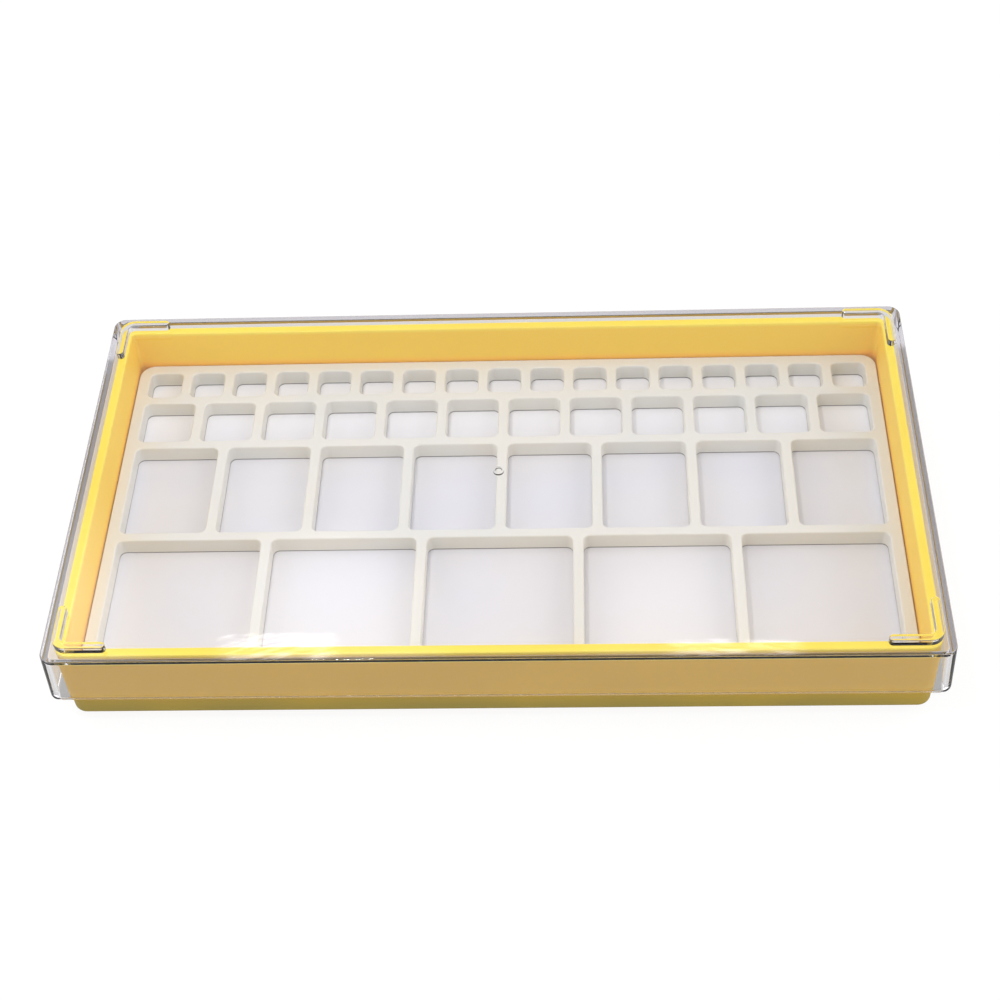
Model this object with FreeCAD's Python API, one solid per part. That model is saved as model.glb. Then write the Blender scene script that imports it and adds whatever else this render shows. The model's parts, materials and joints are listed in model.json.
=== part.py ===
import FreeCAD, Part
import os

# A shallow compartment storage box, in millimetres, +Z up.
# The origin is the middle of the footprint, on the surface that the box stands on.
# +X runs along the box, and -Y is its front, where the deepest compartments are.

# Divider grid: a moulded frame of open cells that lies in the tray
GRID_LENGTH = 240.0
GRID_HEIGHT = 5.7
GRID_BORDER = 3.8
GRID_WALL = 3.2
GRID_CORNER_R = 5.0
GRID_EDGE_R = 0.5
CELL_CORNER_R = 2.0

# Rows of cells from the back to the front: how many cells each has, and their clear depth
BACK_CELL_COUNT = 17
BACK_CELL_DEPTH = 10.7
SECOND_CELL_COUNT = 12
SECOND_CELL_DEPTH = 16.6
THIRD_CELL_COUNT = 8
THIRD_CELL_DEPTH = 35.1
FRONT_CELL_COUNT = 5
FRONT_CELL_DEPTH = 46.0

# Floor pad: a plain sheet under the grid, with the grid's outline
PAD_HEIGHT = 5.0

# Tray: an open box that the pad and the grid drop into
GRID_GAP = 0.3
TRAY_WALL = 2.8
TRAY_FLOOR = 2.4
TRAY_FLARE = 0.2
WELL_FLARE = 0.6
TRAY_INNER_CORNER_R = 1.4
TRAY_RIM_EDGE_R = 0.5
TRAY_BOTTOM_EDGE_R = 1.2
RIM_OVER_GRID = 13.5

# Lid: a clear cover that rests on the tray's rim and hangs outside its walls
LID_PANEL = 2.4
LID_WALL = 2.0
LID_GAP = 1.2
LID_SKIRT = 14.8
LID_FLARE = 0.5
LID_INNER_CORNER_R = 1.6
LID_TOP_EDGE_R = 0.4
LID_SKIRT_EDGE_R = 0.3
GATE_R = 1.6
GATE_HEIGHT = 0.5
GATE_DISH_R = 1.1
GATE_DISH_DEPTH = 0.2

# Stacking ridges: an L at each corner of the lid, which keeps a second box in its place
RIDGE_SETBACK = 3.2
RIDGE_WIDTH = 2.4
RIDGE_HEIGHT = 2.2
RIDGE_LEG = 15.4
RIDGE_CORNER_R = 4.2
RIDGE_EDGE_R = 0.3

# Foot ring: a rib under the tray that stands inside the ridges of the box below
FOOT_WIDTH = 2.0
FOOT_NEST_GAP = 0.4
FOOT_SPARE_HEIGHT = 0.3

# A height within this distance of a level belongs to it
LEVEL_TOLERANCE = 0.001

# Plan sizes that follow from the grid
CELL_ROWS = (
    (BACK_CELL_COUNT, BACK_CELL_DEPTH),
    (SECOND_CELL_COUNT, SECOND_CELL_DEPTH),
    (THIRD_CELL_COUNT, THIRD_CELL_DEPTH),
    (FRONT_CELL_COUNT, FRONT_CELL_DEPTH),
)
GRID_DEPTH = 2 * GRID_BORDER + sum(depth + GRID_WALL for count, depth in CELL_ROWS) - GRID_WALL
WELL_LENGTH = GRID_LENGTH + 2 * GRID_GAP
WELL_DEPTH = GRID_DEPTH + 2 * GRID_GAP
TRAY_LENGTH = WELL_LENGTH + 2 * (WELL_FLARE + TRAY_WALL)
TRAY_DEPTH = WELL_DEPTH + 2 * (WELL_FLARE + TRAY_WALL)
TRAY_CORNER_R = TRAY_INNER_CORNER_R + TRAY_WALL
CAVITY_LENGTH = TRAY_LENGTH + 2 * LID_GAP
CAVITY_DEPTH = TRAY_DEPTH + 2 * LID_GAP
LID_LENGTH = CAVITY_LENGTH + 2 * LID_WALL
LID_DEPTH = CAVITY_DEPTH + 2 * LID_WALL
LID_CORNER_R = LID_INNER_CORNER_R + LID_WALL
RIDGE_LENGTH = LID_LENGTH - 2 * RIDGE_SETBACK
RIDGE_DEPTH = LID_DEPTH - 2 * RIDGE_SETBACK
FOOT_LENGTH = RIDGE_LENGTH - 2 * (RIDGE_WIDTH + FOOT_NEST_GAP)
FOOT_DEPTH = RIDGE_DEPTH - 2 * (RIDGE_WIDTH + FOOT_NEST_GAP)
FOOT_CORNER_R = RIDGE_CORNER_R - RIDGE_WIDTH - FOOT_NEST_GAP

# Levels, each one on top of the one before
TRAY_BOTTOM = RIDGE_HEIGHT + FOOT_SPARE_HEIGHT
FLOOR_TOP = TRAY_BOTTOM + TRAY_FLOOR
PAD_TOP = FLOOR_TOP + PAD_HEIGHT
GRID_TOP = PAD_TOP + GRID_HEIGHT
RIM_TOP = GRID_TOP + RIM_OVER_GRID
SKIRT_BOTTOM = RIM_TOP - LID_SKIRT
LID_TOP = RIM_TOP + LID_PANEL

UP = FreeCAD.Vector(0, 0, 1)
QUARTER_TURN = 90


def outline(length, depth, radius, z, centre=(0, 0)):
    """A closed rounded rectangle at the height z, round a centre in plan."""
    half_x = length / 2 - radius
    half_y = depth / 2 - radius
    quarters = []
    for turn, (side_x, side_y) in enumerate(((1, 1), (-1, 1), (-1, -1), (1, -1))):
        middle = FreeCAD.Vector(centre[0] + side_x * half_x, centre[1] + side_y * half_y, z)
        start = QUARTER_TURN * turn
        quarters.append(Part.makeCircle(radius, middle, UP, start, start + QUARTER_TURN))
    edges = []
    for arc, following in zip(quarters, quarters[1:] + quarters[:1]):
        edges.append(arc)
        edges.append(Part.makeLine(arc.lastVertex().Point, following.firstVertex().Point))
    return Part.Wire(edges)


def slab(length, depth, radius, low, high):
    """An upright rounded block between two levels."""
    return Part.Face(outline(length, depth, radius, low)).extrude(UP * (high - low))


def tapered(length, depth, radius, low, high, grow):
    """A rounded block whose sides lean out by grow on each side, from low up to high."""
    bottom = outline(length, depth, radius, low)
    top = outline(length + 2 * grow, depth + 2 * grow, radius, high)
    return Part.makeLoft([bottom, top], True, True)


def edges_at(shape, level):
    """The edges of a shape that lie wholly at one height."""
    found = []
    for edge in shape.Edges:
        box = edge.BoundBox
        if abs(box.ZMin - level) < LEVEL_TOLERANCE and abs(box.ZMax - level) < LEVEL_TOLERANCE:
            found.append(edge)
    return found


def cell_outlines(level):
    """The mouth of every cell, row by row from the back and from left to right."""
    clear_length = GRID_LENGTH - 2 * GRID_BORDER
    back = GRID_DEPTH / 2 - GRID_BORDER
    mouths = []
    for count, depth in CELL_ROWS:
        pitch = (clear_length + GRID_WALL) / count
        width = pitch - GRID_WALL
        for column in range(count):
            x = (width - clear_length) / 2 + column * pitch
            mouths.append(outline(width, depth, CELL_CORNER_R, level, (x, back - depth / 2)))
        back -= depth + GRID_WALL
    return mouths


def make_divider_grid():
    """One flat frame with the cells cut right through, and its upper edges rounded."""
    rim = outline(GRID_LENGTH, GRID_DEPTH, GRID_CORNER_R, PAD_TOP)
    mouths = cell_outlines(PAD_TOP)
    for mouth in mouths:
        mouth.reverse()
    frame = Part.Face([rim] + mouths).extrude(UP * GRID_HEIGHT)
    return frame.makeFillet(GRID_EDGE_R, edges_at(frame, GRID_TOP))


def make_floor_pad():
    """The sheet that closes the cells from below."""
    return slab(GRID_LENGTH, GRID_DEPTH, GRID_CORNER_R, FLOOR_TOP, PAD_TOP)


def make_tray():
    """Walls round an upright well that opens out above the grid, a floor, and the foot ring under it."""
    shell = tapered(
        TRAY_LENGTH - 2 * TRAY_FLARE,
        TRAY_DEPTH - 2 * TRAY_FLARE,
        TRAY_CORNER_R,
        TRAY_BOTTOM,
        RIM_TOP,
        TRAY_FLARE,
    )
    shell = shell.makeFillet(TRAY_BOTTOM_EDGE_R, edges_at(shell, TRAY_BOTTOM))
    well = slab(WELL_LENGTH, WELL_DEPTH, TRAY_INNER_CORNER_R, FLOOR_TOP, GRID_TOP)
    mouth = tapered(WELL_LENGTH, WELL_DEPTH, TRAY_INNER_CORNER_R, GRID_TOP, RIM_TOP, WELL_FLARE)
    shell = shell.cut(well).cut(mouth)
    shell = shell.makeFillet(TRAY_RIM_EDGE_R, edges_at(shell, RIM_TOP))
    ring = slab(FOOT_LENGTH, FOOT_DEPTH, FOOT_CORNER_R, 0, TRAY_BOTTOM)
    inside_length = FOOT_LENGTH - 2 * FOOT_WIDTH
    inside_depth = FOOT_DEPTH - 2 * FOOT_WIDTH
    ring = ring.cut(slab(inside_length, inside_depth, FOOT_CORNER_R, 0, TRAY_BOTTOM))
    return shell.fuse(ring).removeSplitter()


def make_ridges():
    """The four corner pieces of a square-edged ring, each leg closed by a round end."""
    inner_length = RIDGE_LENGTH - 2 * RIDGE_WIDTH
    inner_depth = RIDGE_DEPTH - 2 * RIDGE_WIDTH
    top = LID_TOP + RIDGE_HEIGHT
    ring = slab(RIDGE_LENGTH, RIDGE_DEPTH, RIDGE_CORNER_R, LID_TOP, top)
    ring = ring.cut(slab(inner_length, inner_depth, RIDGE_CORNER_R - RIDGE_WIDTH, LID_TOP, top))
    round_r = RIDGE_WIDTH / 2
    straight = RIDGE_LEG - round_r
    ridges = []
    for side_x in (-1, 1):
        for side_y in (-1, 1):
            corner = FreeCAD.Vector(side_x * RIDGE_LENGTH / 2, side_y * RIDGE_DEPTH / 2, LID_TOP)
            inward = FreeCAD.Vector(-side_x * straight, -side_y * straight, 0)
            low_x = min(corner.x, corner.x + inward.x)
            low_y = min(corner.y, corner.y + inward.y)
            square = Part.makeBox(straight, straight, RIDGE_HEIGHT, FreeCAD.Vector(low_x, low_y, LID_TOP))
            ridge = ring.common(square)
            end_on_x = FreeCAD.Vector(corner.x + inward.x, corner.y - side_y * round_r, LID_TOP)
            end_on_y = FreeCAD.Vector(corner.x - side_x * round_r, corner.y + inward.y, LID_TOP)
            for end in (end_on_x, end_on_y):
                ridge = ridge.fuse(Part.makeCylinder(round_r, RIDGE_HEIGHT, end))
            ridge = ridge.removeSplitter()
            ridges.append(ridge.makeFillet(RIDGE_EDGE_R, edges_at(ridge, top)))
    return ridges


def make_gate():
    """The round stub that the moulding's sprue leaves, dished on top."""
    centre = FreeCAD.Vector(0, 0, LID_TOP)
    stub = Part.makeCylinder(GATE_R, GATE_HEIGHT, centre)
    dish_floor = centre + UP * (GATE_HEIGHT - GATE_DISH_DEPTH)
    return stub.cut(Part.makeCylinder(GATE_DISH_R, GATE_DISH_DEPTH, dish_floor))


def make_lid():
    """A cover with a skirt that opens a little downwards, with the ridges and the gate stub on top."""
    shell = tapered(
        LID_LENGTH + 2 * LID_FLARE,
        LID_DEPTH + 2 * LID_FLARE,
        LID_CORNER_R,
        SKIRT_BOTTOM,
        LID_TOP,
        -LID_FLARE,
    )
    shell = shell.makeFillet(LID_TOP_EDGE_R, edges_at(shell, LID_TOP))
    cavity = tapered(
        CAVITY_LENGTH + 2 * LID_FLARE,
        CAVITY_DEPTH + 2 * LID_FLARE,
        LID_INNER_CORNER_R,
        SKIRT_BOTTOM,
        RIM_TOP,
        -LID_FLARE,
    )
    shell = shell.cut(cavity)
    shell = shell.makeFillet(LID_SKIRT_EDGE_R, edges_at(shell, SKIRT_BOTTOM))
    return shell.fuse(make_ridges() + [make_gate()]).removeSplitter()


def save(name, shape):
    """Checks one piece, tells its size and writes it."""
    solids = shape.Solids
    if len(solids) != 1 or not solids[0].isValid():
        raise ValueError(f"{name} is not one sound solid")
    box = shape.optimalBoundingBox(False, False)
    print(f"{name}: {box.XLength:.2f} x {box.YLength:.2f} x {box.ZLength:.2f}, from z {box.ZMin:.2f}")
    solids[0].exportStep(f"parts/{name}.step")


os.makedirs("parts", exist_ok=True)
save("tray", make_tray())
save("floor_pad", make_floor_pad())
save("divider_grid", make_divider_grid())
save("lid", make_lid())
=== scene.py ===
# %% [markdown]
# A clear-lidded compartment storage box: a yellow tray, a pale pad on its floor, a cream divider grid of
# 42 cells, and a clear lid that drops over the tray. The solid model of the box comes first, as a frame
# that never moves. Every piece that this script makes takes its place and its outer size from that frame.

# %% Load the frame
import json
import math

import bmesh
import bpy
from mathutils import Matrix, Vector

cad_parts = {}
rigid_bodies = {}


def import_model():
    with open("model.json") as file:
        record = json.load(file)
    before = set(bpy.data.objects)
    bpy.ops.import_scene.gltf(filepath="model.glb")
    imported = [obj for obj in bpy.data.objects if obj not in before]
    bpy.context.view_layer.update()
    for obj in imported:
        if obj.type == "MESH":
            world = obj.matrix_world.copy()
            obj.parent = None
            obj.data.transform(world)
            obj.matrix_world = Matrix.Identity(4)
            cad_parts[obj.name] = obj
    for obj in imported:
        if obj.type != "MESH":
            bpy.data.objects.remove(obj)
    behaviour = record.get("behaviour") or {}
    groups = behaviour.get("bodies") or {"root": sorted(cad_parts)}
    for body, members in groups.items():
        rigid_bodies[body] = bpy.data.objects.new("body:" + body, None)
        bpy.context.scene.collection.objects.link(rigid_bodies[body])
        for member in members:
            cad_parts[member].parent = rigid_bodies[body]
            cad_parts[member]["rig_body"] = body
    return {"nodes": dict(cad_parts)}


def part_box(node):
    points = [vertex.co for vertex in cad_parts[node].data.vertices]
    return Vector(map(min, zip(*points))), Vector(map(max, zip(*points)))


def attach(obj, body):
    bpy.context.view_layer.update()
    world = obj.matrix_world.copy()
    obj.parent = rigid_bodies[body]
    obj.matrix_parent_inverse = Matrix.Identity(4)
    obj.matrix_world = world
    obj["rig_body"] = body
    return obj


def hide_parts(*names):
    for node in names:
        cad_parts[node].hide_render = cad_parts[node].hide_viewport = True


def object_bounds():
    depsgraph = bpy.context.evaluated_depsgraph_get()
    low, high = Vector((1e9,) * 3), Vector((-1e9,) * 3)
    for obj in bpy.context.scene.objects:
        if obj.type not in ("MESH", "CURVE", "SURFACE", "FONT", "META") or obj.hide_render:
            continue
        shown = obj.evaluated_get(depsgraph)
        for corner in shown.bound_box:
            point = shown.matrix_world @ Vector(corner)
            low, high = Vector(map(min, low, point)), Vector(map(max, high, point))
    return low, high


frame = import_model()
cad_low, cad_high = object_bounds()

print("box of the frame, mm:", [round(1000 * side, 1) for side in cad_high - cad_low])

# %% [markdown]
# The frame gives the outer size and the levels of each piece. What a box can't tell, such as a wall or a
# radius, is written as a named size in millimetres, in the cell that first needs it. Two heights are used
# all over: the top of the tray's rim, on which the lid rests, and the top of the lid's panel, from which
# its stacking ridges rise.

# %% Places and levels
MM = 0.001
grid_low, grid_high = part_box("divider_grid")
pad_low, pad_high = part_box("floor_pad")
tray_low, tray_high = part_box("tray")
lid_low, lid_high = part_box("lid")

RIDGE_HEIGHT = 2.2 * MM
rim_top = tray_high.z
lid_top = lid_high.z - RIDGE_HEIGHT
levels = (pad_low.z, pad_high.z, grid_high.z, lid_low.z, rim_top, lid_top)
print("levels, mm:", [round(level / MM, 1) for level in levels])

# %% [markdown]
# Node trees are easier to read as sums than as lists of links. A Wire holds one output of a node, and
# Python's operators on it add Math nodes. Numbers alone stay in Python, so a node is made only where
# something varies.

# %% Wires
class Wire:
    """One output of a node."""

    def __init__(self, graph, socket):
        self.graph = graph
        self.socket = socket

    def out(self, name):
        """Another output of the same node."""
        return Wire(self.graph, self.socket.node.outputs[name])

    def math(self, operation, *operands):
        inputs = dict(enumerate(operands))
        return self.graph.add("ShaderNodeMath", {"operation": operation}, inputs)

    def __add__(self, other):
        return self.math("ADD", self, other)

    def __radd__(self, other):
        return self.math("ADD", other, self)

    def __sub__(self, other):
        return self.math("SUBTRACT", self, other)

    def __rsub__(self, other):
        return self.math("SUBTRACT", other, self)

    def __mul__(self, other):
        return self.math("MULTIPLY", self, other)

    def __rmul__(self, other):
        return self.math("MULTIPLY", other, self)

    def __truediv__(self, other):
        return self.math("DIVIDE", self, other)

    def __gt__(self, other):
        return self.math("GREATER_THAN", self, other)

    def __lt__(self, other):
        return self.math("LESS_THAN", self, other)

    def __abs__(self):
        return self.math("ABSOLUTE", self)

    def larger(self, other):
        return self.math("MAXIMUM", self, other)

    def rise(self, low, high):
        """0 up to low, 1 from high on, and a smooth step between them."""
        inputs = {"Value": self, "From Min": low, "From Max": high}
        return self.graph.add("ShaderNodeMapRange", {"interpolation_type": "SMOOTHSTEP"}, inputs)


operators = [name for name in vars(Wire) if name.endswith("__") and name not in vars(object)]
print("a wire knows", len(operators), "names of Python's own")

# %% [markdown]
# A Graph adds any other node to one tree: its type, its settings, then its inputs, each a plain value or
# a Wire. The same two classes serve the materials, the world and the geometry trees. Colours go through a
# Mix node, as a Math node would turn them grey.

# %% Graphs
class Graph:
    """Adds nodes to one tree."""

    def __init__(self, tree):
        self.tree = tree

    def add(self, kind, settings=None, inputs=None):
        """One node of that type. Its first output comes back as a Wire."""
        node = self.tree.nodes.new(kind)
        for name, value in (settings or {}).items():
            setattr(node, name, value)
        for key, value in (inputs or {}).items():
            for single in value if isinstance(value, list) else [value]:
                self.feed(node.inputs[key], single)
        return Wire(self, node.outputs[0] if node.outputs else None)

    def feed(self, socket, value):
        """A link for a Wire, and the socket's own value for anything else."""
        if isinstance(value, Wire):
            self.tree.links.new(value.socket, socket)
        else:
            socket.default_value = value

    def blend(self, share, first, second):
        """Two colours mixed: the first at share 0, the second at share 1."""
        mix = self.add("ShaderNodeMix", {"data_type": "RGBA"}, {0: share}).socket.node
        colours = [socket for socket in mix.inputs if socket.type == "RGBA"]
        self.feed(colours[0], first)
        self.feed(colours[1], second)
        return Wire(self, next(socket for socket in mix.outputs if socket.type == "RGBA"))


def colour(red, green, blue):
    """A colour from 0 to 255, as a picture shows it, turned into the linear values that shaders use."""
    linear = []
    for part in (red, green, blue):
        share = part / 255
        linear.append(share / 12.92 if share <= 0.04045 else ((share + 0.055) / 1.055) ** 2.4)
    return (*linear, 1.0)


print("a picture's 188 is", round(colour(188, 188, 188)[0], 3), "of full light")

# %% [markdown]
# Every material starts the same way: an empty tree, an output, and a point on the piece in metres, read
# from its Object coordinates. A pattern's scale is therefore a count per metre on the real piece. Two
# patterns are shared: a soft cloud, for drifts of colour and gloss, and specks, for the few dark grains
# that plastic always holds. The three opaque plastics also end the same way, each with numbers of its own
# for its gloss and its grain.

# %% Start and end of a material
SOFT_EDGES = (0.3, 0.7)
SPECK_CORE = 0.4
GRAIN_HEIGHT = 0.02 * MM


def new_material(name):
    """An empty material, its graph, and the point that its patterns read."""
    material = bpy.data.materials.new(name)
    material.use_nodes = True
    material.node_tree.nodes.clear()
    graph = Graph(material.node_tree)
    place = graph.add("ShaderNodeTexCoord").out("Object")
    return material, graph, place


def cloud(graph, place, scale, detail=2.0):
    """Soft noise from 0 to 1."""
    return graph.add("ShaderNodeTexNoise", {}, {"Vector": place, "Scale": scale, "Detail": detail})


def specks(graph, place, per_metre, share, radius):
    """1 in small spots and 0 elsewhere. share says how many of the noise's cells hold a spot."""
    cells = graph.add("ShaderNodeTexVoronoi", {}, {"Vector": place, "Scale": per_metre})
    chance = graph.add("ShaderNodeSeparateColor", {}, {0: cells.out("Color")})
    near = 1 - cells.out("Distance").rise(SPECK_CORE * radius * per_metre, radius * per_metre)
    return near * (chance < share)


def bumps(graph, height, strength, rise):
    """A Normal that follows a height pattern. rise is the real height of the pattern in metres."""
    return graph.add("ShaderNodeBump", {}, {"Strength": strength, "Distance": rise, "Height": height})


def finish_surface(graph, shader):
    graph.add("ShaderNodeOutputMaterial", {}, {"Surface": shader})


def finish_plastic(graph, place, tint, look):
    """Ends the material as an opaque plastic. look holds its gloss and its grain, with scales per metre."""
    gloss_drift = look["roughness_drift"] * cloud(graph, place, look["drift_scale"])
    grain = cloud(graph, place, look["grain_scale"], look["grain_detail"])
    shader = graph.add("ShaderNodeBsdfPrincipled", {}, {
        "Base Color": tint,
        "Roughness": look["roughness"] + gloss_drift,
        "IOR": look["ior"],
        "Specular IOR Level": look["specular"],
        "Normal": bumps(graph, grain, look["grain_strength"], GRAIN_HEIGHT),
    })
    finish_surface(graph, shader)


print("patterns ready: cloud, specks, bumps")

# %% [markdown]
# The tray is moulded in a deep yellow plastic with a satin skin. In the light its rim is a lemon yellow,
# while the walls below it lean to orange, most of all beside the grid, because light reaches them only
# after it has bounced off more of the same yellow. Bounces in the render do part of that, and a colour
# that changes with the height on the tray paints the rest: a painted highlight along the rim, and painted
# bounce light in orange just above the grid. Outside, the wall carries painted shade: lighter on its
# upper part, deeper and greener lower down, and darker still towards its foot. A fine peel texture
# breaks up the reflections.

# %% Yellow plastic
# Painted highlight: the top band of the rim is a lighter lemon yellow
RIM_HIGHLIGHT_YELLOW = colour(250, 226, 84)
WALL_YELLOW = colour(250, 209, 60)
# Painted bounce light: the inner wall turns orange just above the grid
GRID_SIDE_BOUNCE_ORANGE = colour(255, 194, 62)
# Painted shade on the tray's outer wall: lighter up high, deeper lower down, darkest at the foot
OUTER_SHADED_YELLOW = colour(230, 182, 64)
SKIRT_SHADED_YELLOW = colour(189, 158, 71)
FOOT_SHADED_YELLOW = colour(164, 147, 77)
DRIFT_YELLOW = colour(246, 200, 60)
RIM_HIGHLIGHT_BAND = 1.6 * MM
RIM_HIGHLIGHT_FULL = 0.4 * MM
RIM_MIDDLE = 1.4 * MM
SHADE_TOP = lid_low.z - 2.9 * MM
SHADE_EDGE = 1.0 * MM
BOUNCE_BAND = 2.5 * MM
FOOT_SHADE_BAND = 3.0 * MM
YELLOW_DRIFT_SCALE = 22.0
YELLOW_DRIFT_EDGES = (0.35, 0.75)
YELLOW_DRIFT_SHARE = 0.25
YELLOW_LOOK = {
    "roughness": 0.42,
    "roughness_drift": 0.1,
    "drift_scale": 90.0,
    "ior": 1.5,
    "specular": 0.3,
    "grain_scale": 1400.0,
    "grain_detail": 1.0,
    "grain_strength": 0.12,
}


def make_yellow():
    material, graph, place = new_material("yellow_plastic")
    parts = graph.add("ShaderNodeSeparateXYZ", {}, {0: place})
    height = parts.out("Z")
    beyond = (abs(parts.out("X")) - tray_high.x).larger(abs(parts.out("Y")) - tray_high.y)
    outside = beyond > -RIM_MIDDLE
    # Painted bounce light: orange on the inner wall from the grid's top up a short way
    bounce_fade = height.rise(grid_high.z, grid_high.z + BOUNCE_BAND)
    inner = graph.blend(bounce_fade, GRID_SIDE_BOUNCE_ORANGE, WALL_YELLOW)
    # Painted shade on the outer wall, deepening from a little below the lid's skirt down to the foot
    low = graph.blend(height.rise(tray_low.z + FOOT_SHADE_BAND, SHADE_TOP), FOOT_SHADED_YELLOW, SKIRT_SHADED_YELLOW)
    outer = graph.blend(height.rise(SHADE_TOP - SHADE_EDGE, SHADE_TOP), low, OUTER_SHADED_YELLOW)
    tint = graph.blend(outside, inner, outer)
    # Painted highlight: a lemon band along the top of the rim
    tint = graph.blend(height.rise(rim_top - RIM_HIGHLIGHT_BAND, rim_top - RIM_HIGHLIGHT_FULL), tint, RIM_HIGHLIGHT_YELLOW)
    drift = cloud(graph, place, YELLOW_DRIFT_SCALE).rise(*YELLOW_DRIFT_EDGES)
    tint = graph.blend(YELLOW_DRIFT_SHARE * drift, tint, DRIFT_YELLOW)
    finish_plastic(graph, place, tint, YELLOW_LOOK)
    return material


yellow_plastic = make_yellow()
print("made", yellow_plastic.name)

# %% [markdown]
# The divider grid is a cream plastic, duller than the tray, like a cast or a printed part. Its colour
# drifts a little over a few centimetres, a fine grain takes the shine off, and here and there it holds a
# grey speck. Where its walls stand on the pad, the thin shadow of the joint shows as a dark line round
# the foot of every cell.

# %% Cream plastic
CREAM = colour(222, 222, 217)
WARM_CREAM = colour(226, 223, 214)
SPECK = colour(150, 146, 138)
JOINT_SHADE = colour(96, 88, 84)
CREAM_DRIFT_SCALE = 35.0
SPECK_SCALE = 45.0
SPECK_CHANCE = 0.12
SPECK_RADIUS = 0.7 * MM
SPECK_SHARE = 0.5
JOINT_START = 0.04 * MM
JOINT_FADE = 0.25 * MM
JOINT_END = 0.5 * MM
JOINT_SHARE = 0.9
CREAM_LOOK = {
    "roughness": 0.52,
    "roughness_drift": 0.12,
    "drift_scale": 120.0,
    "ior": 1.48,
    "specular": 0.35,
    "grain_scale": 2600.0,
    "grain_detail": 2.0,
    "grain_strength": 0.2,
}


def make_cream():
    material, graph, place = new_material("cream_plastic")
    drift = cloud(graph, place, CREAM_DRIFT_SCALE).rise(*SOFT_EDGES)
    tint = graph.blend(drift, CREAM, WARM_CREAM)
    spots = specks(graph, place, SPECK_SCALE, SPECK_CHANCE, SPECK_RADIUS)
    tint = graph.blend(SPECK_SHARE * spots, tint, SPECK)
    above_foot = graph.add("ShaderNodeSeparateXYZ", {}, {0: place}).out("Z") - grid_low.z
    joint = above_foot.rise(0.0, JOINT_START) * (1 - above_foot.rise(JOINT_FADE, JOINT_END))
    tint = graph.blend(JOINT_SHARE * joint, tint, JOINT_SHADE)
    finish_plastic(graph, place, tint, CREAM_LOOK)
    return material


cream_plastic = make_cream()
print("made", cream_plastic.name)

# %% [markdown]
# The pad at the foot of every cell is a pale sheet with a touch of lavender. It is matt, and a soft
# fibre-like grain keeps its large flat areas from looking like paint. In the photo it is as light in the
# smallest cells at the back as in the large ones, as the real cream walls let light through. These walls
# don't, so the pad gets paler towards the back instead.

# %% Pale pad
PALE = colour(223, 223, 229)
WARM_PALE = colour(226, 224, 226)
# Painted light: the pad grows paler towards the back, for light through the cream walls
PAINTED_LIGHT_PALE = colour(253, 252, 254)
PAINTED_LIGHT_FROM = 15 * MM
PAINTED_LIGHT_TO = 55 * MM
PALE_DRIFT_SCALE = 28.0
PALE_LOOK = {
    "roughness": 0.62,
    "roughness_drift": 0.1,
    "drift_scale": 150.0,
    "ior": 1.45,
    "specular": 0.3,
    "grain_scale": 3800.0,
    "grain_detail": 3.0,
    "grain_strength": 0.25,
}


def make_pale():
    material, graph, place = new_material("pale_pad")
    drift = cloud(graph, place, PALE_DRIFT_SCALE).rise(*SOFT_EDGES)
    tint = graph.blend(drift, PALE, WARM_PALE)
    # Painted light: paler towards the back, where the small cells would get light through their walls
    back = graph.add("ShaderNodeSeparateXYZ", {}, {0: place}).out("Y").rise(PAINTED_LIGHT_FROM, PAINTED_LIGHT_TO)
    tint = graph.blend(back, tint, PAINTED_LIGHT_PALE)
    finish_plastic(graph, place, tint, PALE_LOOK)
    return material


pale_pad = make_pale()
print("made", pale_pad.name)

# %% [markdown]
# The lid is clear moulded polystyrene. Its surface is a Principled shader with full transmission and that
# plastic's refraction, and its body takes a little light away on the way through: nothing shows of that
# across the panel, but a long path inside the panel's edge ends up dark, as the front edge of the real
# lid does. Refracting glass would leave the tray in shadow, as a path that looks for a lamp can't bend,
# so such paths and soft bounces find the lid to be thin clear film instead. A camera's view through the
# lid still refracts.

# %% Clear plastic
SURFACE_CLEAR = (0.99, 0.99, 0.99, 1)
FILM_CLEAR = (0.95, 0.95, 0.95, 1)
BODY_TINT = (0.6, 0.54, 0.66, 1)
BODY_DENSITY = 27.0
POLYSTYRENE_IOR = 1.59
HAZE_ROUGHNESS = 0.02
HAZE_SCALE = 60.0
HAIRLINE_ROUGHNESS = 0.05
HAIRLINE_STRETCH = (14.0, 900.0, 14.0)
HAIRLINE_EDGES = (0.68, 0.8)
HAIRLINE_TURNS = (0.5, -0.9)
WAVE_SCALE = 30.0
WAVE_STRENGTH = 0.3
WAVE_HEIGHT = 0.03 * MM


def scratches(graph, place, turn):
    """Faint hairlines along one direction, from a noise that is stretched along it."""
    inputs = {"Vector": place, "Rotation": (0.0, 0.0, turn), "Scale": HAIRLINE_STRETCH}
    laid = graph.add("ShaderNodeMapping", {}, inputs)
    return cloud(graph, laid, 1.0, 1.0).rise(*HAIRLINE_EDGES)


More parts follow.
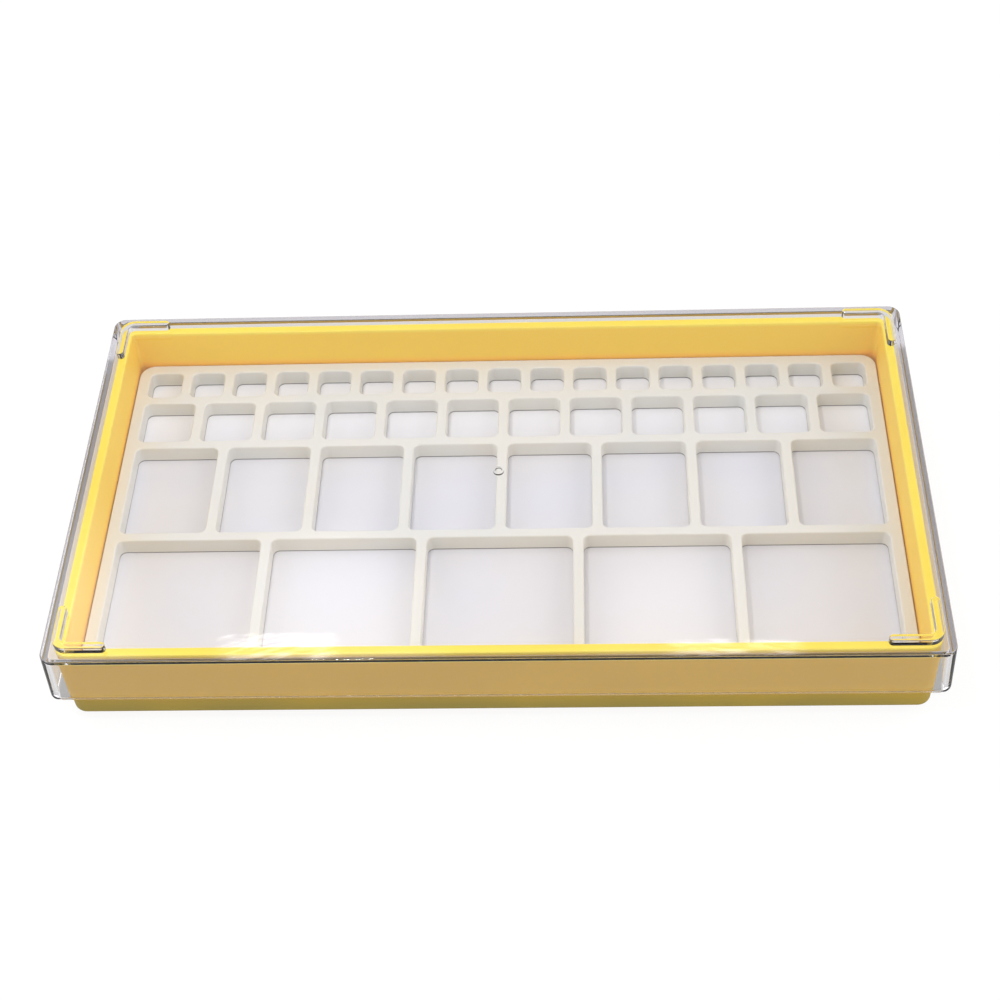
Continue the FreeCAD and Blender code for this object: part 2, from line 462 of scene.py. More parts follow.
def make_clear():
    material, graph, place = new_material("clear_plastic")
    one_way, other_way = [scratches(graph, place, turn) for turn in HAIRLINE_TURNS]
    hairlines = one_way.larger(other_way)
    haze = HAZE_ROUGHNESS * cloud(graph, place, HAZE_SCALE)
    waves = cloud(graph, place, WAVE_SCALE, 1.0)
    glass = graph.add("ShaderNodeBsdfPrincipled", {}, {
        "Base Color": SURFACE_CLEAR,
        "Roughness": haze + HAIRLINE_ROUGHNESS * hairlines,
        "IOR": POLYSTYRENE_IOR,
        "Transmission Weight": 1.0,
        "Normal": bumps(graph, waves, WAVE_STRENGTH, WAVE_HEIGHT),
    })
    ray = graph.add("ShaderNodeLightPath")
    passing = ray.out("Is Shadow Ray").larger(ray.out("Is Diffuse Ray"))
    film = graph.add("ShaderNodeBsdfTransparent", {}, {"Color": FILM_CLEAR})
    surface = graph.add("ShaderNodeMixShader", {}, {0: passing, 1: glass, 2: film})
    body = graph.add("ShaderNodeVolumeAbsorption", {}, {"Color": BODY_TINT, "Density": BODY_DENSITY})
    graph.add("ShaderNodeOutputMaterial", {}, {"Surface": surface, "Volume": body})
    return material


clear_plastic = make_clear()
print("made", clear_plastic.name)

# %% [markdown]
# The real grid is one moulding: a flat frame with 42 straight-sided pockets, round in their corners, and
# with its upper edges softened. It could be cut from a slab with 42 booleans, but the pattern is a rule:
# four rows, each with a count and a depth, and even walls between. So Geometry Nodes draw it. The first
# tree places the mouths of one row, and the second uses it four times. A tree's inputs are declared from
# a table of names, types and values.

# %% One row of cells
GRID_BORDER = 3.8 * MM
GRID_WALL = 3.2 * MM
CELL_CORNER = 2.0 * MM
CELL_CORNER_STEPS = 6
# Each row from the back to the front: its number of cells, and their clear depth
CELL_ROWS = ((17, 10.7 * MM), (12, 16.6 * MM), (8, 35.1 * MM), (5, 46.0 * MM))
grid_size = grid_high - grid_low
clear_length = grid_size.x - 2 * GRID_BORDER


def new_geometry_tree(name, wanted):
    """A geometry tree with its inputs declared, as the tree, its graph and its inputs' node."""
    tree = bpy.data.node_groups.new(name, "GeometryNodeTree")
    for label, (kind, value) in wanted.items():
        socket = tree.interface.new_socket(name=label, in_out="INPUT", socket_type="NodeSocket" + kind)
        socket.default_value = value
    tree.interface.new_socket(name="Geometry", in_out="OUTPUT", socket_type="NodeSocketGeometry")
    graph = Graph(tree)
    return tree, graph, graph.add("NodeGroupInput")


def rounded_rectangle(graph, length, depth, radius, steps):
    """A closed outline with round corners."""
    square = graph.add("GeometryNodeCurvePrimitiveQuadrilateral", {}, {"Width": length, "Height": depth})
    inputs = {"Curve": square, "Count": steps, "Radius": radius}
    return graph.add("GeometryNodeFilletCurve", {"mode": "POLY"}, inputs)


def make_row_tree():
    """The mouths of one row of cells: equal widths, with a wall between each two."""
    count, depth = CELL_ROWS[0]
    tree, graph, given = new_geometry_tree("row_of_cells", {
        "Cells": ("Int", count),
        "Clear length": ("Float", clear_length),
        "Wall": ("Float", GRID_WALL),
        "Cell depth": ("Float", depth),
        "Middle": ("Float", 0.0),
        "Corner": ("Float", CELL_CORNER),
        "Corner steps": ("Int", CELL_CORNER_STEPS),
    })
    pitch = (given.out("Clear length") + given.out("Wall")) / given.out("Cells")
    width = pitch - given.out("Wall")
    corner, steps = given.out("Corner"), given.out("Corner steps")
    mouth = rounded_rectangle(graph, width, given.out("Cell depth"), corner, steps)
    first_x = (width - given.out("Clear length")) / 2
    first = graph.add("ShaderNodeCombineXYZ", {}, {"X": first_x, "Y": given.out("Middle")})
    step = graph.add("ShaderNodeCombineXYZ", {}, {"X": pitch})
    inputs = {"Count": given.out("Cells"), "Start Location": first, "Offset": step}
    middles = graph.add("GeometryNodeMeshLine", {}, inputs)
    mouths = graph.add("GeometryNodeInstanceOnPoints", {}, {"Points": middles, "Instance": mouth})
    graph.add("NodeGroupOutput", {}, {0: graph.add("GeometryNodeRealizeInstances", {}, {0: mouths})})
    return tree


row_tree = make_row_tree()
print("tree", row_tree.name, "has", len(row_tree.nodes), "nodes")

# %% [markdown]
# A section of the wall, straight and then a quarter round, is swept along every mouth and along the outer
# outline. The sweep leaves open loops at the top and at the foot. Filling those same loops makes the flat
# faces, so that the skin closes without a gap when its points are merged.

# %% Walls and flat faces
SAME_POINT = 0.001 * MM
SAME_LEVEL = 0.005 * MM


def wall_section(graph, height, edge, edge_steps):
    """The wall's section: upright, then a quarter round. It runs downwards, as the sweep turns it over."""
    shoulder_level = edge - height
    shoulder = graph.add("ShaderNodeCombineXYZ", {}, {"Y": shoulder_level})
    upright = graph.add("GeometryNodeCurvePrimitiveLine", {}, {"End": shoulder})
    quarter = graph.add("GeometryNodeCurveArc", {}, {
        "Resolution": edge_steps + 1,
        "Radius": edge,
        "Start Angle": math.pi,
        "Sweep Angle": math.pi / 2,
    })
    centre = graph.add("ShaderNodeCombineXYZ", {}, {"X": edge, "Y": shoulder_level})
    quarter = graph.add("GeometryNodeTransform", {}, {"Geometry": quarter, "Translation": centre})
    return graph.add("GeometryNodeJoinGeometry", {}, {0: [upright, quarter]})


def level_face(graph, walls, chosen, height):
    """A flat face between the chosen edges of the walls, put at a height."""
    loops = graph.add("GeometryNodeMeshToCurve", {}, {"Mesh": walls, "Selection": chosen})
    face = graph.add("GeometryNodeFillCurve", {}, {"Curve": loops})
    lift = graph.add("ShaderNodeCombineXYZ", {}, {"Z": height})
    return graph.add("GeometryNodeTransform", {}, {"Geometry": face, "Translation": lift})


def merged(graph, geometry):
    return graph.add("GeometryNodeMergeByDistance", {}, {"Geometry": geometry, "Distance": SAME_POINT})


print("points nearer than", SAME_POINT / MM, "mm count as one")

# %% [markdown]
# The whole tree walks the rows from the back to the front, and each row starts one wall in front of the
# row behind it. Its inputs hold every size, so the same tree would draw another grid. It ends with one
# plain, finished mesh.

# %% The whole grid
GRID_CORNER = 5.0 * MM
GRID_EDGE = 0.5 * MM
GRID_CORNER_STEPS = 10
GRID_EDGE_STEPS = 5
ROW_NUMBERS = range(1, 1 + len(CELL_ROWS))

grid_inputs = {
    "Length": ("Float", grid_size.x),
    "Depth": ("Float", grid_size.y),
    "Height": ("Float", grid_size.z),
    "Foot level": ("Float", grid_low.z),
    "Border": ("Float", GRID_BORDER),
    "Wall": ("Float", GRID_WALL),
    "Corner": ("Float", GRID_CORNER),
    "Corner steps": ("Int", GRID_CORNER_STEPS),
    "Cell corner": ("Float", CELL_CORNER),
    "Cell corner steps": ("Int", CELL_CORNER_STEPS),
    "Edge": ("Float", GRID_EDGE),
    "Edge steps": ("Int", GRID_EDGE_STEPS),
    "Finish": ("Material", cream_plastic),
}
for number, (count, depth) in zip(ROW_NUMBERS, CELL_ROWS):
    grid_inputs[f"Row {number} cells"] = ("Int", count)
    grid_inputs[f"Row {number} depth"] = ("Float", depth)


def grid_outlines(graph, given):
    """The mouths of all rows from the back on, and the grid's own outline the other way round."""
    clear = given.out("Length") - 2 * given.out("Border")
    back = given.out("Depth") / 2 - given.out("Border")
    outlines = []
    for number in ROW_NUMBERS:
        depth = given.out(f"Row {number} depth")
        outlines.append(graph.add("GeometryNodeGroup", {"node_tree": row_tree}, {
            "Cells": given.out(f"Row {number} cells"),
            "Clear length": clear,
            "Wall": given.out("Wall"),
            "Cell depth": depth,
            "Middle": back - depth / 2,
            "Corner": given.out("Cell corner"),
            "Corner steps": given.out("Cell corner steps"),
        }))
        back = back - depth - given.out("Wall")
    corner, steps = given.out("Corner"), given.out("Corner steps")
    rim = rounded_rectangle(graph, given.out("Length"), given.out("Depth"), corner, steps)
    outlines.append(graph.add("GeometryNodeReverseCurve", {}, {"Curve": rim}))
    joined = graph.add("GeometryNodeJoinGeometry", {}, {0: outlines})
    return graph.add("GeometryNodeSetCurveNormal", {"mode": "Z_UP"}, {"Curve": joined})


def make_grid_tree():
    tree, graph, given = new_geometry_tree("divider_grid", grid_inputs)
    section = wall_section(graph, given.out("Height"), given.out("Edge"), given.out("Edge steps"))
    inputs = {"Curve": grid_outlines(graph, given), "Profile Curve": section}
    walls = merged(graph, graph.add("GeometryNodeCurveToMesh", {}, inputs))
    level = graph.add("ShaderNodeSeparateXYZ", {}, {0: graph.add("GeometryNodeInputPosition")}).out("Z")
    top = level_face(graph, walls, level > given.out("Height") - SAME_LEVEL, given.out("Height"))
    foot = level_face(graph, walls, level < SAME_LEVEL, 0.0)
    foot = graph.add("GeometryNodeFlipFaces", {}, {"Mesh": foot})
    closed = merged(graph, graph.add("GeometryNodeJoinGeometry", {}, {0: [walls, top, foot]}))
    lift = graph.add("ShaderNodeCombineXYZ", {}, {"Z": given.out("Foot level")})
    placed = graph.add("GeometryNodeTransform", {}, {"Geometry": closed, "Translation": lift})
    placed = graph.add("GeometryNodeRealizeInstances", {}, {0: placed})
    placed = graph.add("GeometryNodeSetMaterial", {}, {"Geometry": placed, "Material": given.out("Finish")})
    graph.add("NodeGroupOutput", {}, {0: placed})
    return tree


grid_tree = make_grid_tree()
print("tree", grid_tree.name, "has", len(grid_tree.nodes), "nodes and", len(grid_inputs), "inputs")

# %% [markdown]
# Shading needs care on a moulding like this. Large flat faces meet small rounds, and averaged normals
# would make the flats look swollen. The Weighted Normal modifier lets the larger faces decide, and edges
# that are truly sharp stay sharp. Its result is kept in a plain mesh, so that no modifier is left on any
# piece.

# %% Finish a piece
SHARP_ANGLE = math.radians(40)
FULL_WEIGHT = 100


def bare_piece(name, mesh):
    piece = bpy.data.objects.new(name, mesh)
    bpy.context.scene.collection.objects.link(piece)
    return piece


def apply_modifiers(piece):
    """Keeps what the modifiers make as the piece's own mesh, and removes them."""
    view = bpy.context.evaluated_depsgraph_get()
    mesh = bpy.data.meshes.new_from_object(piece.evaluated_get(view))
    piece.modifiers.clear()
    piece.data = mesh
    mesh.name = piece.name


def shade(piece, material):
    """Smooth rounds, flat flats and sharp corners, in one material."""
    mesh = piece.data
    mesh.materials.clear()
    mesh.materials.append(material)
    shape = bmesh.new()
    shape.from_mesh(mesh)
    for face in shape.faces:
        face.smooth = True
        face.material_index = 0
    for edge in shape.edges:
        edge.smooth = edge.calc_face_angle(0) < SHARP_ANGLE
    open_edges = sum(not edge.is_manifold for edge in shape.edges)
    shape.to_mesh(mesh)
    shape.free()
    weights = piece.modifiers.new("flats_win", "WEIGHTED_NORMAL")
    weights.mode = "FACE_AREA"
    weights.weight = FULL_WEIGHT
    weights.keep_sharp = True
    apply_modifiers(piece)
    print(piece.name, "has", len(piece.data.polygons), "faces and", open_edges, "open edges")


def settle(piece, node):
    """The piece rides with the body of the frame's node that it stands for, and hides that node."""
    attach(piece, frame["nodes"][node]["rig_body"])
    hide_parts(node)


print("edges over", round(math.degrees(SHARP_ANGLE)), "degrees stay sharp")

# %% [markdown]
# Now the tree draws the grid. An empty piece carries it as a modifier, and each input is set by its
# socket's identifier before the piece is first evaluated. What comes out is kept as a plain mesh.

# %% Divider grid
def make_divider_grid():
    piece = bare_piece("cell_grid", bpy.data.meshes.new("cell_grid"))
    modifier = piece.modifiers.new("grid", "NODES")
    modifier.node_group = grid_tree
    for socket in grid_tree.interface.items_tree:
        if socket.name in grid_inputs:
            modifier[socket.identifier] = grid_inputs[socket.name][1]
    apply_modifiers(piece)
    shade(piece, cream_plastic)
    return piece


divider_grid = make_divider_grid()
settle(divider_grid, "divider_grid")
print("cells:", sum(count for count, depth in CELL_ROWS))

# %% [markdown]
# The tray, the pad and the lid are all rounded rectangles that grow and shrink with the height. Such a
# piece is a stack of rings, joined ring to ring by a band of faces. A ring is worked out from its half
# sizes and its corner radius, and a round edge is a few rings along a quarter circle. The pairs that
# describe a wall are like a draughtsman's section: how far out, and how high.

# %% Rings and skins
CORNER_STEPS = 12
EDGE_STEPS = 6
QUARTER = math.pi / 2


def ring(half_x, half_y, radius, height):
    """The points of a rounded rectangle, from its +X +Y corner round."""
    points = []
    for turn, (side_x, side_y) in enumerate(((1, 1), (-1, 1), (-1, -1), (1, -1))):
        for step in range(CORNER_STEPS + 1):
            angle = QUARTER * (turn + step / CORNER_STEPS)
            x = side_x * (half_x - radius) + radius * math.cos(angle)
            y = side_y * (half_y - radius) + radius * math.sin(angle)
            points.append(Vector((x, y, height)))
    return points


def bend(grow, height, radius, start, end):
    """Outward places and heights round an edge. start and end are quarter turns from straight out."""
    pairs = []
    for step in range(EDGE_STEPS + 1):
        angle = QUARTER * (start + (end - start) * step / EDGE_STEPS)
        pairs.append((grow + radius * math.cos(angle), height + radius * math.sin(angle)))
    return pairs


def wall_rings(half_x, half_y, radius, pairs, lean=0.0, from_level=0.0, to_level=1.0):
    """Rings of a wall, one for each pair. It leans outwards by lean between two levels."""
    rings = []
    for grow, height in pairs:
        out = grow + lean * (height - from_level) / (to_level - from_level)
        rings.append(ring(half_x + out, half_y + out, radius + grow, height))
    return rings


def skin(shape, rings):
    """Joins the rings by bands of faces, and closes the first and the last one."""
    loops = [[shape.verts.new(point) for point in points] for points in rings]
    for low, high in zip(loops, loops[1:]):
        for here in range(len(low)):
            after = (here + 1) % len(low)
            shape.faces.new((low[here], low[after], high[after], high[here]))
    shape.faces.new(reversed(loops[0]))
    shape.faces.new(loops[-1])


def closed_piece(name, stacks):
    """A piece made of one closed skin for each stack of rings."""
    shape = bmesh.new()
    for rings in stacks:
        skin(shape, rings)
    bmesh.ops.remove_doubles(shape, verts=shape.verts, dist=SAME_POINT)
    bmesh.ops.recalc_face_normals(shape, faces=shape.faces)
    mesh = bpy.data.meshes.new(name)
    shape.to_mesh(mesh)
    shape.free()
    return bare_piece(name, mesh)


print("a ring has", len(ring(1, 1, 0.1, 0)), "points, a round edge", EDGE_STEPS + 1, "rings")

# %% [markdown]
# The tray is an open moulding with walls that lean out a little, so that it leaves its mould, and a foot
# ring that fits between the ridges of a box below. Beside the grid its inner wall is upright, so that the
# gap there stays narrow. Its skin is one walk: from the middle of the underside over the foot, up the
# outer wall, over the rounded rim and down the inner wall to the middle of the floor.

# %% Tray
TRAY_FOOT = 2.5 * MM
TRAY_WALL = 2.8 * MM
TRAY_LEAN = 0.2 * MM
TRAY_CORNER = 4.2 * MM
TRAY_RIM_EDGE = 0.5 * MM
TRAY_BOTTOM_EDGE = 1.2 * MM
TRAY_FLOOR_EDGE = 0.4 * MM
WELL_LEAN = 0.6 * MM
FOOT_INSET = 2.8 * MM
FOOT_WIDTH = 2.0 * MM
FOOT_CORNER = 1.4 * MM
FOOT_EDGE = 0.3 * MM


def foot_rings(bottom):
    """Down the foot's inner side and up its outer side."""
    foot = tray_low.z + FOOT_EDGE
    half_x, half_y = tray_high.x - FOOT_INSET, tray_high.y - FOOT_INSET
    inner = [(0, bottom)] + bend(FOOT_EDGE, foot, FOOT_EDGE, 2, 3)
    outer = bend(-FOOT_EDGE, foot, FOOT_EDGE, -1, 0) + [(0, bottom)]
    rings = wall_rings(half_x - FOOT_WIDTH, half_y - FOOT_WIDTH, FOOT_CORNER, inner)
    return rings + wall_rings(half_x, half_y, FOOT_CORNER, outer)


def outer_wall_rings(bottom):
    """Up the outer wall to the middle of the rim."""
    half_x, half_y = tray_high.x - TRAY_LEAN, tray_high.y - TRAY_LEAN
    pairs = bend(-TRAY_BOTTOM_EDGE, bottom + TRAY_BOTTOM_EDGE, TRAY_BOTTOM_EDGE, -1, 0)
    pairs += bend(-TRAY_RIM_EDGE, rim_top - TRAY_RIM_EDGE, TRAY_RIM_EDGE, 0, 1)
    return wall_rings(half_x, half_y, TRAY_CORNER, pairs, TRAY_LEAN, bottom, rim_top)


def well_rings(floor):
    """Down the leaning wall to the grid's top, then straight down beside the grid to the floor."""
    inset = TRAY_WALL + WELL_LEAN
    size = (tray_high.x - inset, tray_high.y - inset, TRAY_CORNER - TRAY_WALL)
    pairs = bend(TRAY_RIM_EDGE, rim_top - TRAY_RIM_EDGE, TRAY_RIM_EDGE, 1, 2) + [(0, grid_high.z)]
    rings = wall_rings(*size, pairs, WELL_LEAN, grid_high.z, rim_top)
    foot = bend(-TRAY_FLOOR_EDGE, floor + TRAY_FLOOR_EDGE, TRAY_FLOOR_EDGE, 0, -1)
    return rings + wall_rings(*size, foot)


def make_tray():
    bottom = tray_low.z + TRAY_FOOT
    rings = foot_rings(bottom) + outer_wall_rings(bottom) + well_rings(pad_low.z)
    piece = closed_piece("tray_shell", [rings])
    shade(piece, yellow_plastic)
    return piece


tray = make_tray()
settle(tray, "tray")
print("tray's outer size, mm:", [round(side / MM, 1) for side in tray.dimensions])

# %% [markdown]
# The pad is a plain sheet that lies on the tray's floor, with the grid on top of it. Only its top shows,
# at the foot of every cell, but it is a whole sheet with softened edges, because the lid and the grid can
# be lifted off.

# %% Floor pad
PAD_EDGE = 0.4 * MM


def make_pad():
    pairs = bend(-PAD_EDGE, pad_low.z + PAD_EDGE, PAD_EDGE, -1, 0)
    pairs += bend(-PAD_EDGE, pad_high.z - PAD_EDGE, PAD_EDGE, 0, 1)
    piece = closed_piece("floor_sheet", [wall_rings(pad_high.x, pad_high.y, GRID_CORNER, pairs)])
    shade(piece, pale_pad)
    return piece


pad = make_pad()
settle(pad, "floor_pad")
print("pad's size, mm:", [round(side / MM, 1) for side in pad.dimensions])

# %% [markdown]
# Four L-shaped ridges stand on the lid's corners and keep a second box in its place. Each is drawn as one
# outline round a bent line: along the outer side, round one end, back along the inner side and round the
# other end. In the middle of the panel is the stub that the moulding's gate leaves, a low disc with a
# dished top. Both start a little inside the panel, so that they can be joined to it.

# %% Ridges and gate stub
RIDGE_WIDTH = 2.4 * MM
RIDGE_LEG = 15.4 * MM
RIDGE_CORNER = 4.2 * MM
RIDGE_EDGE = 0.3 * MM
GATE_RADIUS = 1.6 * MM
GATE_HEIGHT = 0.5 * MM
GATE_DISH_RADIUS = 1.1 * MM
GATE_DISH_DEPTH = 0.2 * MM
GATE_EDGE = 0.12 * MM
SINK = 0.3 * MM

# The ridges' outer sides stand right above the tray's
ridge_x, ridge_y = tray_high.x, tray_high.y


def ridge_line():
    """The middle line of one L, as points with the direction of its outer side."""
    half = RIDGE_WIDTH / 2
    elbow_x, elbow_y = ridge_x - RIDGE_CORNER, ridge_y - RIDGE_CORNER
    middle = RIDGE_CORNER - half
    line = [(ridge_x - RIDGE_LEG + half, ridge_y - half, QUARTER)]
    for step in range(CORNER_STEPS + 1):
        angle = QUARTER * (1 - step / CORNER_STEPS)
        line.append((elbow_x + middle * math.cos(angle), elbow_y + middle * math.sin(angle), angle))
    line.append((ridge_x - half, ridge_y - RIDGE_LEG + half, 0.0))
    return line


def ridge_outline(inset, height):
    """One L in plan, shrunk by inset all round."""
    line = ridge_line()
    reach = RIDGE_WIDTH / 2 - inset
    turns = range(1, CORNER_STEPS)
    sides = list(line)
    sides += [(*line[-1][:2], -2 * QUARTER * step / CORNER_STEPS) for step in turns]
    sides += [(x, y, angle - 2 * QUARTER) for x, y, angle in reversed(line)]
    sides += [(*line[0][:2], -QUARTER - 2 * QUARTER * step / CORNER_STEPS) for step in turns]
    points = []
    for x, y, angle in sides:
        points.append(Vector((x + reach * math.cos(angle), y + reach * math.sin(angle), height)))
    return points


def ridge_stack(side_x, side_y):
    """The rings of one ridge, mirrored into its corner."""
    rings = [ridge_outline(0, lid_top - SINK)]
    for out, height in bend(-RIDGE_EDGE, lid_high.z - RIDGE_EDGE, RIDGE_EDGE, 0, 1):
        rings.append(ridge_outline(-out, height))
    flip = Vector((side_x, side_y, 1))
    return [[point * flip for point in points] for points in rings]


def gate_stack():
    """The rings of the round stub: up its side, over its lip and down into its dish."""
    top = lid_top + GATE_HEIGHT
    pairs = [(GATE_RADIUS, lid_top - SINK)]
    pairs += bend(GATE_RADIUS - GATE_EDGE, top - GATE_EDGE, GATE_EDGE, 0, 1)
    pairs += [(GATE_DISH_RADIUS, top), (GATE_DISH_RADIUS - GATE_EDGE, top - GATE_DISH_DEPTH)]
    return [ring(radius, radius, radius, height) for radius, height in pairs]


print("a ridge's outline has", len(ridge_outline(0, 0)), "points")

# %% [markdown]
# The lid is a shell with a flat panel and a skirt that opens a little downwards. It could be left as a
# shell with ridges pushed into it, but clear plastic shows every hidden wall, so the ridges and the stub
# are joined to the shell by an exact boolean union, and the whole lid is one closed skin.

# %% Lid
LID_WALL = 2.0 * MM
LID_LEAN = 0.5 * MM
LID_CORNER = 3.6 * MM
LID_TOP_EDGE = 0.4 * MM
LID_SKIRT_EDGE = 0.3 * MM
LID_CEILING_EDGE = 0.2 * MM


def make_lid_shell():
    """One skin, from the middle of the ceiling down the inner wall, round the skirt and up over the top."""
    ceiling, skirt = rim_top, lid_low.z
    inner = bend(-LID_CEILING_EDGE, ceiling - LID_CEILING_EDGE, LID_CEILING_EDGE, 1, 0)
    inner += bend(LID_SKIRT_EDGE, skirt + LID_SKIRT_EDGE, LID_SKIRT_EDGE, 2, 3)
    outer = bend(-LID_SKIRT_EDGE, skirt + LID_SKIRT_EDGE, LID_SKIRT_EDGE, -1, 0)
    outer += bend(-LID_TOP_EDGE, lid_top - LID_TOP_EDGE, LID_TOP_EDGE, 0, 1)
    half_x, half_y = lid_high.x - LID_WALL, lid_high.y - LID_WALL
    rings = wall_rings(half_x, half_y, LID_CORNER - LID_WALL, inner, -LID_LEAN, skirt, ceiling)
    rings += wall_rings(lid_high.x, lid_high.y, LID_CORNER, outer, -LID_LEAN, skirt, lid_top)
    return closed_piece("clear_lid", [rings])


def make_lid():
    shell = make_lid_shell()
    corners = [(side_x, side_y) for side_x in (-1, 1) for side_y in (-1, 1)]
    extras = closed_piece("lid_extras", [ridge_stack(*corner) for corner in corners] + [gate_stack()])
    union = shell.modifiers.new("union", "BOOLEAN")
    union.operation = "UNION"
    union.solver = "EXACT"
    union.object = extras
    apply_modifiers(shell)
    bpy.data.objects.remove(extras)
    shade(shell, clear_plastic)
    return shell


lid = make_lid()
settle(lid, "lid")
print("lid's size, mm:", [round(side / MM, 1) for side in lid.dimensions])

# %% [markdown]
# The camera stands where the photographer held theirs: in front of the box, a little right of its middle,
# looking down at it by about 48 degrees, with the picture banked by almost 4. Its place, its turn and its
# lens were worked out from the corners and edges of the box in the photo, and are rounded to what shows.

# %% Camera
EYE = Vector((27.03, -378.63, 445.39)) * MM
LOOK_DOWN = math.radians(48.347)
TURN_LEFT = math.radians(4.105)
BANK = math.radians(-3.824)
FOCAL_PIXELS = 1875.75
IMAGE_PIXELS = 1000
SENSOR = 36.0
NEAREST = 10 * MM


def make_camera():
    data = bpy.data.cameras.new("photo_camera")
    data.sensor_width = SENSOR
    data.lens = SENSOR * FOCAL_PIXELS / IMAGE_PIXELS
    data.clip_start = NEAREST
    camera = bpy.data.objects.new("photo_camera", data)
    bpy.context.scene.collection.objects.link(camera)
    turn = Matrix.Rotation(TURN_LEFT, 4, "Z")
    tilt = Matrix.Rotation(QUARTER - LOOK_DOWN, 4, "X")
    bank = Matrix.Rotation(BANK, 4, "Z")
    camera.matrix_world = Matrix.Translation(EYE) @ turn @ tilt @ bank
    bpy.context.scene.camera = camera
    return camera


camera = make_camera()
print("lens, mm:", round(camera.data.lens, 2))

# %% [markdown]
# The photo's background is plain white, but the box in it stood on something darker: little light comes
# back up at the tray's outer wall. So the floor is a grey that takes the shadow. A glow is mixed in for
# paths that come from the camera, which turns it white, and a weaker one for what is seen through the lid
# or mirrored. Through the lid it sets in only some way from the box, so that the clear skirt shows a dark
# foot and a pale table beyond it.

# %% Floor
FLOOR_HALF = 2.0
FLOOR_DROP = 0.05 * MM
FLOOR_GREY = 0.2
GLOW_SHARE = 0.5
GLOW_STRENGTH = (1 - GLOW_SHARE * FLOOR_GREY) / GLOW_SHARE
GLOSSY_GLOW = 0.3
THROUGH_GLOW = 0.75
# Painted shade round the box's foot, seen through the lid: where the glow fades in
SHADE_FADE_START = 0.5 * MM
SHADE_FADE_END = 5.0 * MM


def make_floor():
    material, graph, place = new_material("studio_floor")
    ray = graph.add("ShaderNodeLightPath")
    seen = ray.out("Is Camera Ray").larger(GLOSSY_GLOW * ray.out("Is Glossy Ray"))
    parts = graph.add("ShaderNodeSeparateXYZ", {}, {0: place})
    away = (abs(parts.out("X")) - lid_high.x).larger(abs(parts.out("Y")) - lid_high.y)
    # Painted shade: through the lid the glow is left out next to the box and fades in a few millimetres out
    through = THROUGH_GLOW * away.rise(SHADE_FADE_START, SHADE_FADE_END)
    seen = seen.larger(through * ray.out("Is Transmission Ray"))
    matt = graph.add("ShaderNodeBsdfDiffuse", {}, {"Color": (FLOOR_GREY, FLOOR_GREY, FLOOR_GREY, 1)})
    glow = graph.add("ShaderNodeEmission", {}, {"Color": (1, 1, 1, 1), "Strength": GLOW_STRENGTH})
    finish_surface(graph, graph.add("ShaderNodeMixShader", {}, {0: GLOW_SHARE * seen, 1: matt, 2: glow}))
    shape = bmesh.new()
    bmesh.ops.create_grid(shape, x_segments=1, y_segments=1, size=FLOOR_HALF)
    mesh = bpy.data.meshes.new("studio_floor")
    shape.to_mesh(mesh)
    shape.free()
    mesh.transform(Matrix.Translation((0, 0, cad_low.z - FLOOR_DROP)))
    mesh.materials.append(material)
    floor = bare_piece("studio_floor", mesh)
    return floor


floor = make_floor()
print("floor's side, m:", round(floor.dimensions.x, 1))

# %% [markdown]
# The light is soft and comes from all over: an even grey sky, a brighter patch straight above, pale
# windows at half height on both sides, the right one more so, and pale bands low in front and low at the
# back, which light the upright walls. A clear panel mirrors whatever is opposite the camera, so the sky
# stays dim there, but for three soft halos and two bright panes, which show as glare along the lid's
# front edge, streaked by the waves of the moulding. Everything is written as a level for each direction
# of the world, with x to the right, y to the back and z up. Each part of the light fades in or out
# between two values of one of those, and each such pair has a name.

# %% Studio light
SKY = 0.56
OVERHEAD = 0.6
LOW_FRONT = 1.0
LOW_BACK = 1.0
LEFT_WINDOW = 1.5
RIGHT_WINDOW = 2.1
OVERHEAD_EDGE = (0.84, 0.96)
FRONT_EDGE = (-0.3, 0.3)
BACK_EDGE = (0.2, 0.6)
LOW_FRONT_TOP = (0.25, 0.6)
LOW_BACK_FOOT = (0.0, 0.1)
LOW_BACK_TOP = (0.45, 0.66)
WINDOW_FRONT_EDGE = (-0.6, -0.2)
WINDOW_FOOT = (0.15, 0.4)
WINDOW_TOP = (0.65, 0.9)
LEFT_TO_RIGHT = (-0.2, 0.2)
# Each halo: the direction of its middle, its strength, and its reach in degrees
HALOS = (
    ((-0.137, 0.603, 0.786), 1.0, 4),
    ((0.048, 0.608, 0.792), 0.6, 4),
    ((-0.35, 0.56, 0.751), 1.9, 8),
)
# Each pane: its middle and half width in x, its lower edge, how that tilts with x, and its strength
PANES = (
    (-0.1645, 0.028, 0.8045, -0.14, 3.4),
    (0.075, 0.034, 0.797, 0.05, 3.0),
)
PANE_HEIGHT = 0.03
PANE_SIDE_BLUR = 0.007
PANE_EDGE_BLUR = 0.001
STREAK_STRETCH = (60.0, 60.0, 1200.0)
STREAK_EDGES = (0.4, 0.62)
LEAST_STREAK = 0.12


def glow(graph, way, toward, reach):
    """1 in one direction, falling to 0 at reach from it."""
    facing = graph.add("ShaderNodeVectorMath", {"operation": "DOT_PRODUCT"}, {0: way, 1: toward})
    return facing.out("Value").rise(math.cos(reach), 1.0)


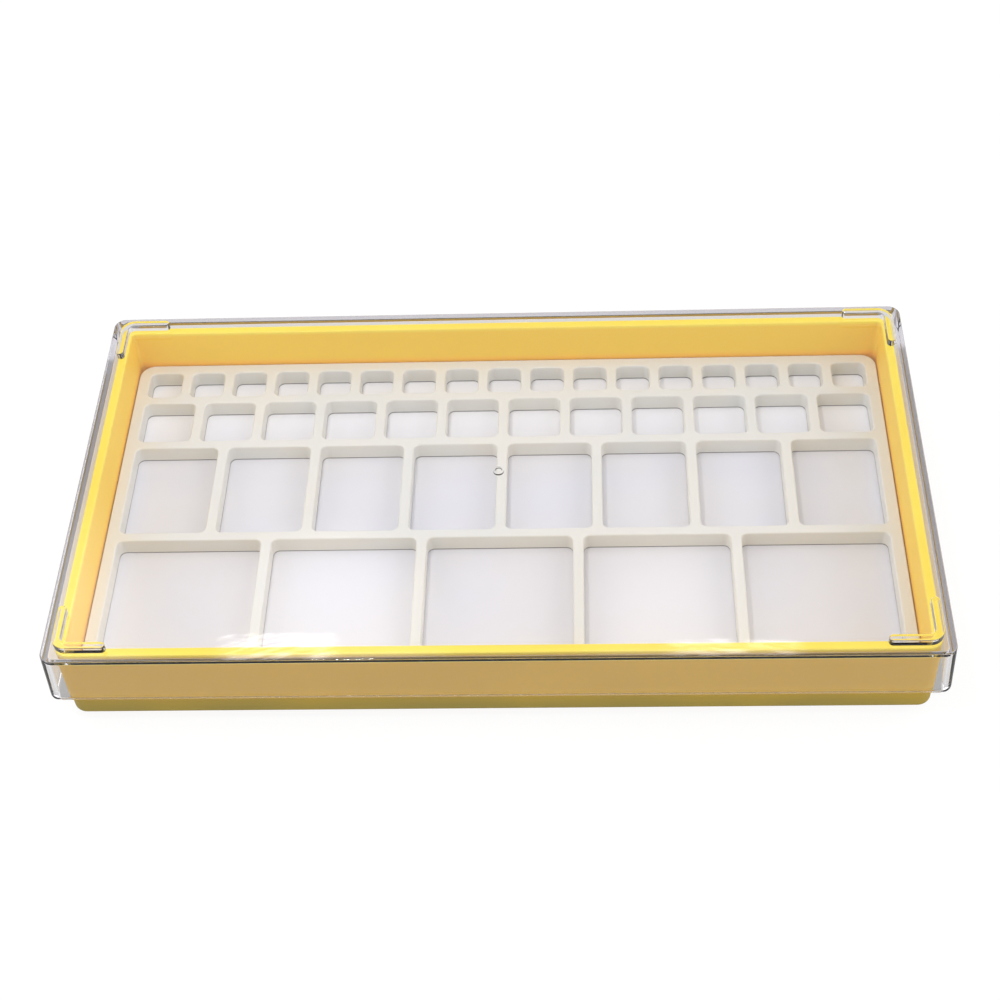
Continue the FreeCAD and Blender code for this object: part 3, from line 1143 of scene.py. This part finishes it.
def glare(graph, way, x, z):
    """The halos and the streaked panes."""
    laid = graph.add("ShaderNodeMapping", {}, {"Vector": way, "Scale": STREAK_STRETCH})
    streaks = LEAST_STREAK + cloud(graph, laid, 1.0, 1.0).rise(*STREAK_EDGES)
    level = 0.0
    for toward, strength, reach in HALOS:
        level = level + strength * glow(graph, way, toward, math.radians(reach))
    for middle, half, edge, tilt, strength in PANES:
        across = 1 - abs(x - middle).rise(half - PANE_SIDE_BLUR, half + PANE_SIDE_BLUR)
        tilted = z + tilt * x
        above_top = tilted.rise(edge + PANE_HEIGHT, edge + 2 * PANE_HEIGHT)
        along = tilted.rise(edge, edge + PANE_EDGE_BLUR) - above_top
        level = level + strength * across * along * streaks
    return level


def sky_level(graph, way):
    """The sky's level in each direction."""
    parts = graph.add("ShaderNodeSeparateXYZ", {}, {0: way})
    x, y, z = parts.out("X"), parts.out("Y"), parts.out("Z")
    front, back = 1 - y.rise(*FRONT_EDGE), y.rise(*BACK_EDGE)
    beside = y.rise(*WINDOW_FRONT_EDGE) * (1 - y.rise(*BACK_EDGE))
    half_height = z.rise(*WINDOW_FOOT) * (1 - z.rise(*WINDOW_TOP))
    windows = LEFT_WINDOW + (RIGHT_WINDOW - LEFT_WINDOW) * x.rise(*LEFT_TO_RIGHT)
    low_back = z.rise(*LOW_BACK_FOOT) * (1 - z.rise(*LOW_BACK_TOP))
    level = SKY + OVERHEAD * z.rise(*OVERHEAD_EDGE)
    level = level + LOW_FRONT * (1 - z.rise(*LOW_FRONT_TOP)) * front
    level = level + LOW_BACK * low_back * back
    level = level + half_height * beside * windows
    return level + glare(graph, way, x, z) * back


def make_world():
    world = bpy.data.worlds.new("studio")
    bpy.context.scene.world = world
    world.use_nodes = True
    world.node_tree.nodes.clear()
    graph = Graph(world.node_tree)
    level = sky_level(graph, graph.add("ShaderNodeTexCoord").out("Generated"))
    ray = graph.add("ShaderNodeLightPath")
    soft = graph.add("ShaderNodeBackground", {}, {"Color": (1, 1, 1, 1), "Strength": level})
    white = graph.add("ShaderNodeBackground", {}, {"Color": (1, 1, 1, 1), "Strength": 1.0})
    seen = graph.add("ShaderNodeMixShader", {}, {0: ray.out("Is Camera Ray"), 1: soft, 2: white})
    graph.add("ShaderNodeOutputWorld", {}, {"Surface": seen})
    return world


world = make_world()
print("world", world.name, "has", len(world.node_tree.nodes), "nodes")

# %% [markdown]
# One small lamp hangs above the left half of the box. It gives only about a fifth of the light, but it
# draws what the soft sky can't: a narrow, crisp shade to the right of each wall of the grid, wider the
# further right it is.

# %% Lamp
LAMP_PLACE = (-0.1, -0.07, 0.48)
LAMP_SIZE = 0.035
LAMP_WATTS = 0.51


def make_lamp():
    data = bpy.data.lights.new("small_lamp", "AREA")
    data.shape = "DISK"
    data.size = LAMP_SIZE
    data.energy = LAMP_WATTS
    lamp = bpy.data.objects.new("small_lamp", data)
    lamp.location = LAMP_PLACE
    bpy.context.scene.collection.objects.link(lamp)
    return lamp


lamp = make_lamp()
print("lamp's height, m:", round(lamp.location.z, 2))

# %% [markdown]
# The last cell sets the plain view transform.

# %% View transform
bpy.context.scene.view_settings.view_transform = "Standard"
